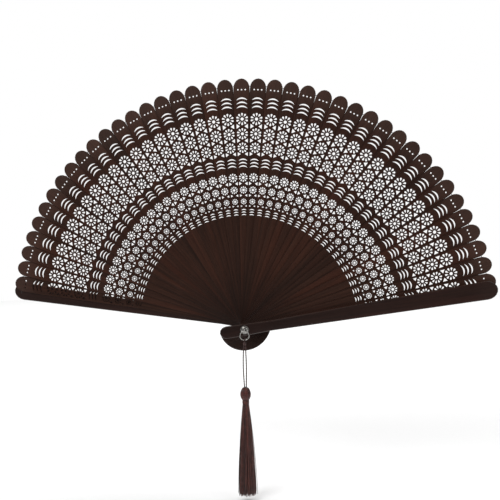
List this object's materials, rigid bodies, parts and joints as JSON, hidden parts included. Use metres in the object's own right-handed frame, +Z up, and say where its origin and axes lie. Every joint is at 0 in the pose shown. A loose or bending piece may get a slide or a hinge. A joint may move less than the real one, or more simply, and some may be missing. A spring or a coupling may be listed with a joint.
{
  "type": "folding hand fan",
  "caption": "Folding hand fan of overlapping pierced wooden leaves between two solid guards that turn on one rivet; a ring and cords carry a silk tassel.",
  "frame": {"origin": "on the rivet's axis at the middle of the stack of leaves, between the fingers that hold the fan", "axes": "+X to the right of the open fan as seen from its front, +Y along the rivet from the front guard to the rear guard, +Z up through the middle of the open fan"},
  "size_m": [0.3658, 0.0466, 0.307],
  "materials": {
    "leaf_wood": "dark stained sandalwood, satin",
    "guard_wood": "dark stained sandalwood, polished",
    "rivet_metal": "nickel plated",
    "ring_metal": "nickel plated wire",
    "cord_silk": "silk cord",
    "tassel_silk": "silk thread",
    "binding_silk": "wound silk thread",
    "linking_thread": "fine dark thread"
  },
  "bodies": {
    "rear_guard": {"rear_guard": "guard_wood", "rivet_pin": "rivet_metal", "rivet_cap": "rivet_metal", "front_washer": "rivet_metal", "rear_washer": "rivet_metal", "linking_thread": "linking_thread"},
    "front_guard": {"front_guard": "guard_wood"},
    "leaf_01": {"leaf_01": "leaf_wood"},
    "leaf_02": {"leaf_02": "leaf_wood"},
    "leaf_03": {"leaf_03": "leaf_wood"},
    "leaf_04": {"leaf_04": "leaf_wood"},
    "leaf_05": {"leaf_05": "leaf_wood"},
    "leaf_06": {"leaf_06": "leaf_wood"},
    "leaf_07": {"leaf_07": "leaf_wood"},
    "leaf_08": {"leaf_08": "leaf_wood"},
    "leaf_09": {"leaf_09": "leaf_wood"},
    "leaf_10": {"leaf_10": "leaf_wood"},
    "leaf_11": {"leaf_11": "leaf_wood"},
    "leaf_12": {"leaf_12": "leaf_wood"},
    "leaf_13": {"leaf_13": "leaf_wood"},
    "leaf_14": {"leaf_14": "leaf_wood"},
    "leaf_15": {"leaf_15": "leaf_wood"},
    "leaf_16": {"leaf_16": "leaf_wood"},
    "leaf_17": {"leaf_17": "leaf_wood"},
    "leaf_18": {"leaf_18": "leaf_wood"},
    "leaf_19": {"leaf_19": "leaf_wood"},
    "leaf_20": {"leaf_20": "leaf_wood"},
    "leaf_21": {"leaf_21": "leaf_wood"},
    "leaf_22": {"leaf_22": "leaf_wood"},
    "leaf_23": {"leaf_23": "leaf_wood"},
    "leaf_24": {"leaf_24": "leaf_wood"},
    "leaf_25": {"leaf_25": "leaf_wood"},
    "leaf_26": {"leaf_26": "leaf_wood"},
    "leaf_27": {"leaf_27": "leaf_wood"},
    "leaf_28": {"leaf_28": "leaf_wood"},
    "leaf_29": {"leaf_29": "leaf_wood"},
    "leaf_30": {"leaf_30": "leaf_wood"},
    "leaf_31": {"leaf_31": "leaf_wood"},
    "leaf_32": {"leaf_32": "leaf_wood"},
    "leaf_33": {"leaf_33": "leaf_wood"},
    "leaf_34": {"leaf_34": "leaf_wood"},
    "leaf_35": {"leaf_35": "leaf_wood"},
    "leaf_36": {"leaf_36": "leaf_wood"},
    "leaf_37": {"leaf_37": "leaf_wood"},
    "leaf_38": {"leaf_38": "leaf_wood"},
    "leaf_39": {"leaf_39": "leaf_wood"},
    "leaf_40": {"leaf_40": "leaf_wood"},
    "leaf_41": {"leaf_41": "leaf_wood"},
    "ring": {"ring": "ring_metal"},
    "tassel": {"cord_loop": "cord_silk", "tassel_cord_a": "cord_silk", "tassel_cord_b": "cord_silk", "tassel_head": "tassel_silk", "tassel_neck": "binding_silk", "tassel_skirt": "tassel_silk"}
  },
  "joints": [
    {"name": "fan_fold", "type": "hinge", "parent": "rear_guard", "child": "front_guard", "pos_m": [0, 0, 0], "axis": [0, -1, 0], "range_deg": [0, 162.6], "deforming": ["linking_thread"]},
    {"name": "leaf_01_turn", "type": "hinge", "parent": "rear_guard", "child": "leaf_01", "pos_m": [0, 0, 0], "axis": [0, -1, 0], "range_deg": [0, 1.9]},
    {"name": "leaf_02_turn", "type": "hinge", "parent": "rear_guard", "child": "leaf_02", "pos_m": [0, 0, 0], "axis": [0, -1, 0], "range_deg": [0, 5.87]},
    {"name": "leaf_03_turn", "type": "hinge", "parent": "rear_guard", "child": "leaf_03", "pos_m": [0, 0, 0], "axis": [0, -1, 0], "range_deg": [0, 9.84]},
    {"name": "leaf_04_turn", "type": "hinge", "parent": "rear_guard", "child": "leaf_04", "pos_m": [0, 0, 0], "axis": [0, -1, 0], "range_deg": [0, 13.81]},
    {"name": "leaf_05_turn", "type": "hinge", "parent": "rear_guard", "child": "leaf_05", "pos_m": [0, 0, 0], "axis": [0, -1, 0], "range_deg": [0, 17.78]},
    {"name": "leaf_06_turn", "type": "hinge", "parent": "rear_guard", "child": "leaf_06", "pos_m": [0, 0, 0], "axis": [0, -1, 0], "range_deg": [0, 21.75]},
    {"name": "leaf_07_turn", "type": "hinge", "parent": "rear_guard", "child": "leaf_07", "pos_m": [0, 0, 0], "axis": [0, -1, 0], "range_deg": [0, 25.72]},
    {"name": "leaf_08_turn", "type": "hinge", "parent": "rear_guard", "child": "leaf_08", "pos_m": [0, 0, 0], "axis": [0, -1, 0], "range_deg": [0, 29.69]},
    {"name": "leaf_09_turn", "type": "hinge", "parent": "rear_guard", "child": "leaf_09", "pos_m": [0, 0, 0], "axis": [0, -1, 0], "range_deg": [0, 33.66]},
    {"name": "leaf_10_turn", "type": "hinge", "parent": "rear_guard", "child": "leaf_10", "pos_m": [0, 0, 0], "axis": [0, -1, 0], "range_deg": [0, 37.63]},
    {"name": "leaf_11_turn", "type": "hinge", "parent": "rear_guard", "child": "leaf_11", "pos_m": [0, 0, 0], "axis": [0, -1, 0], "range_deg": [0, 41.6]},
    {"name": "leaf_12_turn", "type": "hinge", "parent": "rear_guard", "child": "leaf_12", "pos_m": [0, 0, 0], "axis": [0, -1, 0], "range_deg": [0, 45.57]},
    {"name": "leaf_13_turn", "type": "hinge", "parent": "rear_guard", "child": "leaf_13", "pos_m": [0, 0, 0], "axis": [0, -1, 0], "range_deg": [0, 49.54]},
    {"name": "leaf_14_turn", "type": "hinge", "parent": "rear_guard", "child": "leaf_14", "pos_m": [0, 0, 0], "axis": [0, -1, 0], "range_deg": [0, 53.51]},
    {"name": "leaf_15_turn", "type": "hinge", "parent": "rear_guard", "child": "leaf_15", "pos_m": [0, 0, 0], "axis": [0, -1, 0], "range_deg": [0, 57.48]},
    {"name": "leaf_16_turn", "type": "hinge", "parent": "rear_guard", "child": "leaf_16", "pos_m": [0, 0, 0], "axis": [0, -1, 0], "range_deg": [0, 61.45]},
    {"name": "leaf_17_turn", "type": "hinge", "parent": "rear_guard", "child": "leaf_17", "pos_m": [0, 0, 0], "axis": [0, -1, 0], "range_deg": [0, 65.42]},
    {"name": "leaf_18_turn", "type": "hinge", "parent": "rear_guard", "child": "leaf_18", "pos_m": [0, 0, 0], "axis": [0, -1, 0], "range_deg": [0, 69.39]},
    {"name": "leaf_19_turn", "type": "hinge", "parent": "rear_guard", "child": "leaf_19", "pos_m": [0, 0, 0], "axis": [0, -1, 0], "range_deg": [0, 73.36]},
    {"name": "leaf_20_turn", "type": "hinge", "parent": "rear_guard", "child": "leaf_20", "pos_m": [0, 0, 0], "axis": [0, -1, 0], "range_deg": [0, 77.33]},
    {"name": "leaf_21_turn", "type": "hinge", "parent": "rear_guard", "child": "leaf_21", "pos_m": [0, 0, 0], "axis": [0, -1, 0], "range_deg": [0, 81.3]},
    {"name": "leaf_22_turn", "type": "hinge", "parent": "rear_guard", "child": "leaf_22", "pos_m": [0, 0, 0], "axis": [0, -1, 0], "range_deg": [0, 85.27]},
    {"name": "leaf_23_turn", "type": "hinge", "parent": "rear_guard", "child": "leaf_23", "pos_m": [0, 0, 0], "axis": [0, -1, 0], "range_deg": [0, 89.24]},
    {"name": "leaf_24_turn", "type": "hinge", "parent": "rear_guard", "child": "leaf_24", "pos_m": [0, 0, 0], "axis": [0, -1, 0], "range_deg": [0, 93.21]},
    {"name": "leaf_25_turn", "type": "hinge", "parent": "rear_guard", "child": "leaf_25", "pos_m": [0, 0, 0], "axis": [0, -1, 0], "range_deg": [0, 97.18]},
    {"name": "leaf_26_turn", "type": "hinge", "parent": "rear_guard", "child": "leaf_26", "pos_m": [0, 0, 0], "axis": [0, -1, 0], "range_deg": [0, 101.15]},
    {"name": "leaf_27_turn", "type": "hinge", "parent": "rear_guard", "child": "leaf_27", "pos_m": [0, 0, 0], "axis": [0, -1, 0], "range_deg": [0, 105.12]},
    {"name": "leaf_28_turn", "type": "hinge", "parent": "rear_guard", "child": "leaf_28", "pos_m": [0, 0, 0], "axis": [0, -1, 0], "range_deg": [0, 109.09]},
    {"name": "leaf_29_turn", "type": "hinge", "parent": "rear_guard", "child": "leaf_29", "pos_m": [0, 0, 0], "axis": [0, -1, 0], "range_deg": [0, 113.06]},
    {"name": "leaf_30_turn", "type": "hinge", "parent": "rear_guard", "child": "leaf_30", "pos_m": [0, 0, 0], "axis": [0, -1, 0], "range_deg": [0, 117.03]},
    {"name": "leaf_31_turn", "type": "hinge", "parent": "rear_guard", "child": "leaf_31", "pos_m": [0, 0, 0], "axis": [0, -1, 0], "range_deg": [0, 121]},
    {"name": "leaf_32_turn", "type": "hinge", "parent": "rear_guard", "child": "leaf_32", "pos_m": [0, 0, 0], "axis": [0, -1, 0], "range_deg": [0, 124.97]},
    {"name": "leaf_33_turn", "type": "hinge", "parent": "rear_guard", "child": "leaf_33", "pos_m": [0, 0, 0], "axis": [0, -1, 0], "range_deg": [0, 128.94]},
    {"name": "leaf_34_turn", "type": "hinge", "parent": "rear_guard", "child": "leaf_34", "pos_m": [0, 0, 0], "axis": [0, -1, 0], "range_deg": [0, 132.91]},
    {"name": "leaf_35_turn", "type": "hinge", "parent": "rear_guard", "child": "leaf_35", "pos_m": [0, 0, 0], "axis": [0, -1, 0], "range_deg": [0, 136.88]},
    {"name": "leaf_36_turn", "type": "hinge", "parent": "rear_guard", "child": "leaf_36", "pos_m": [0, 0, 0], "axis": [0, -1, 0], "range_deg": [0, 140.85]},
    {"name": "leaf_37_turn", "type": "hinge", "parent": "rear_guard", "child": "leaf_37", "pos_m": [0, 0, 0], "axis": [0, -1, 0], "range_deg": [0, 144.82]},
    {"name": "leaf_38_turn", "type": "hinge", "parent": "rear_guard", "child": "leaf_38", "pos_m": [0, 0, 0], "axis": [0, -1, 0], "range_deg": [0, 148.79]},
    {"name": "leaf_39_turn", "type": "hinge", "parent": "rear_guard", "child": "leaf_39", "pos_m": [0, 0, 0], "axis": [0, -1, 0], "range_deg": [0, 152.76]},
    {"name": "leaf_40_turn", "type": "hinge", "parent": "rear_guard", "child": "leaf_40", "pos_m": [0, 0, 0], "axis": [0, -1, 0], "range_deg": [0, 156.73]},
    {"name": "leaf_41_turn", "type": "hinge", "parent": "rear_guard", "child": "leaf_41", "pos_m": [0, 0, 0], "axis": [0, -1, 0], "range_deg": [0, 160.7]},
    {"name": "ring_swing", "type": "hinge", "parent": "rear_guard", "child": "ring", "pos_m": [0, -0.02059, -0.00135], "axis": [0, 1, 0], "range_deg": [-25, 25]},
    {"name": "tassel_swing", "type": "hinge", "parent": "ring", "child": "tassel", "pos_m": [0, -0.02059, -0.00702], "axis": [-1, 0, 0], "range_deg": [-8, 60]}
  ],
  "couplings": [
    {"joint": "leaf_01_turn", "follows": "fan_fold", "ratio": 0.011685},
    {"joint": "leaf_02_turn", "follows": "fan_fold", "ratio": 0.036101},
    {"joint": "leaf_03_turn", "follows": "fan_fold", "ratio": 0.060517},
    {"joint": "leaf_04_turn", "follows": "fan_fold", "ratio": 0.084932},
    {"joint": "leaf_05_turn", "follows": "fan_fold", "ratio": 0.10935},
    {"joint": "leaf_06_turn", "follows": "fan_fold", "ratio": 0.13376},
    {"joint": "leaf_07_turn", "follows": "fan_fold", "ratio": 0.15818},
    {"joint": "leaf_08_turn", "follows": "fan_fold", "ratio": 0.1826},
    {"joint": "leaf_09_turn", "follows": "fan_fold", "ratio": 0.20701},
    {"joint": "leaf_10_turn", "follows": "fan_fold", "ratio": 0.23143},
    {"joint": "leaf_11_turn", "follows": "fan_fold", "ratio": 0.25584},
    {"joint": "leaf_12_turn", "follows": "fan_fold", "ratio": 0.28026},
    {"joint": "leaf_13_turn", "follows": "fan_fold", "ratio": 0.30467},
    {"joint": "leaf_14_turn", "follows": "fan_fold", "ratio": 0.32909},
    {"joint": "leaf_15_turn", "follows": "fan_fold", "ratio": 0.35351},
    {"joint": "leaf_16_turn", "follows": "fan_fold", "ratio": 0.37792},
    {"joint": "leaf_17_turn", "follows": "fan_fold", "ratio": 0.40234},
    {"joint": "leaf_18_turn", "follows": "fan_fold", "ratio": 0.42675},
    {"joint": "leaf_19_turn", "follows": "fan_fold", "ratio": 0.45117},
    {"joint": "leaf_20_turn", "follows": "fan_fold", "ratio": 0.47558},
    {"joint": "leaf_21_turn", "follows": "fan_fold", "ratio": 0.5},
    {"joint": "leaf_22_turn", "follows": "fan_fold", "ratio": 0.52442},
    {"joint": "leaf_23_turn", "follows": "fan_fold", "ratio": 0.54883},
    {"joint": "leaf_24_turn", "follows": "fan_fold", "ratio": 0.57325},
    {"joint": "leaf_25_turn", "follows": "fan_fold", "ratio": 0.59766},
    {"joint": "leaf_26_turn", "follows": "fan_fold", "ratio": 0.62208},
    {"joint": "leaf_27_turn", "follows": "fan_fold", "ratio": 0.64649},
    {"joint": "leaf_28_turn", "follows": "fan_fold", "ratio": 0.67091},
    {"joint": "leaf_29_turn", "follows": "fan_fold", "ratio": 0.69533},
    {"joint": "leaf_30_turn", "follows": "fan_fold", "ratio": 0.71974},
    {"joint": "leaf_31_turn", "follows": "fan_fold", "ratio": 0.74416},
    {"joint": "leaf_32_turn", "follows": "fan_fold", "ratio": 0.76857},
    {"joint": "leaf_33_turn", "follows": "fan_fold", "ratio": 0.79299},
    {"joint": "leaf_34_turn", "follows": "fan_fold", "ratio": 0.8174},
    {"joint": "leaf_35_turn", "follows": "fan_fold", "ratio": 0.84182},
    {"joint": "leaf_36_turn", "follows": "fan_fold", "ratio": 0.86624},
    {"joint": "leaf_37_turn", "follows": "fan_fold", "ratio": 0.89065},
    {"joint": "leaf_38_turn", "follows": "fan_fold", "ratio": 0.91507},
    {"joint": "leaf_39_turn", "follows": "fan_fold", "ratio": 0.93948},
    {"joint": "leaf_40_turn", "follows": "fan_fold", "ratio": 0.9639},
    {"joint": "leaf_41_turn", "follows": "fan_fold", "ratio": 0.98831}
  ]
}
